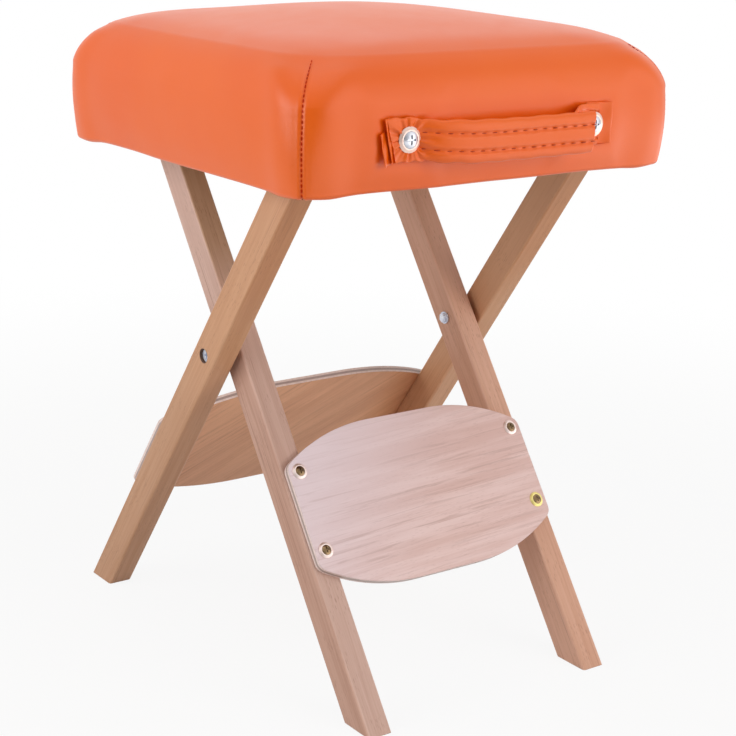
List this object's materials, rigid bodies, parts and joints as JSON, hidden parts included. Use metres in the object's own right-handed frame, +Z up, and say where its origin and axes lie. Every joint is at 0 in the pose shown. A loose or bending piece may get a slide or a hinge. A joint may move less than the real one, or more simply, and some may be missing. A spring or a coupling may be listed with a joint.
{
  "type": "padded folding stool",
  "caption": "Padded stool with a crowned square seat on two crossed wooden leg frames that fold together, with bowed plywood panels and a carrying handle.",
  "frame": {"origin": "on the floor, at the middle of the four feet", "axes": "+Z up; -Y is the side of the seat that carries the handle; +X to the right as seen from there"},
  "size_m": [0.35, 0.3926, 0.515],
  "materials": {
    "cover_pvc": "semi-gloss orange PVC",
    "foam": "open foam",
    "wadding": "matt",
    "plywood": "raw",
    "rail_wood": "raw",
    "panel_plywood": "clear satin lacquer",
    "beech": "clear satin lacquer",
    "bright_steel": "nickel plated",
    "zinc_steel": "zinc plated",
    "pale_brass": "pale brass plated",
    "brass": "turned",
    "nylon": "matt"
  },
  "bodies": {
    "outer_frame": {"outer_leg_left": "beech", "outer_leg_right": "beech", "rear_panel": "panel_plywood", "rear_panel_screws": "bright_steel", "rear_panel_cup_washers": "pale_brass", "frame_pivot_bolts": "bright_steel", "frame_pivot_spacers": "nylon", "frame_pivot_nuts": "bright_steel"},
    "inner_frame": {"inner_leg_left": "beech", "inner_leg_right": "beech", "inner_top_rail": "beech", "inner_rail_screws": "zinc_steel", "front_panel": "panel_plywood", "front_panel_screws": "bright_steel", "front_panel_cup_washers": "pale_brass"},
    "seat": {"seat_cover": "cover_pvc", "foam_pad": "foam", "edge_wadding": "wadding", "seat_board": "plywood", "seat_front_rail": "rail_wood", "seat_rear_rail": "rail_wood", "seat_side_rail_left": "rail_wood", "seat_side_rail_right": "rail_wood", "seat_runner_left": "rail_wood", "seat_runner_right": "rail_wood", "frame_screws": "zinc_steel", "board_screws": "zinc_steel", "runner_screws": "zinc_steel", "cover_staples": "zinc_steel", "handle_band": "cover_pvc", "handle_grip": "cover_pvc", "handle_cup_washers": "bright_steel", "handle_screws": "bright_steel", "seat_pivot_bolts": "zinc_steel", "seat_pivot_inserts": "brass", "seat_pivot_spacers": "nylon"}
  },
  "joints": [
    {"name": "leg_fold", "type": "hinge", "parent": "outer_frame", "child": "inner_frame", "pos_m": [0, 0, 0.25], "axis": [1, 0, 0], "range_deg": [0, 70.6]},
    {"name": "seat_tilt", "type": "hinge", "parent": "outer_frame", "child": "seat", "pos_m": [0, -0.11749, 0.4135], "axis": [1, 0, 0], "range_deg": [0, 35.5]}
  ],
  "couplings": [
    {"joint": "seat_tilt", "follows": "leg_fold", "ratio": 0.5}
  ]
}
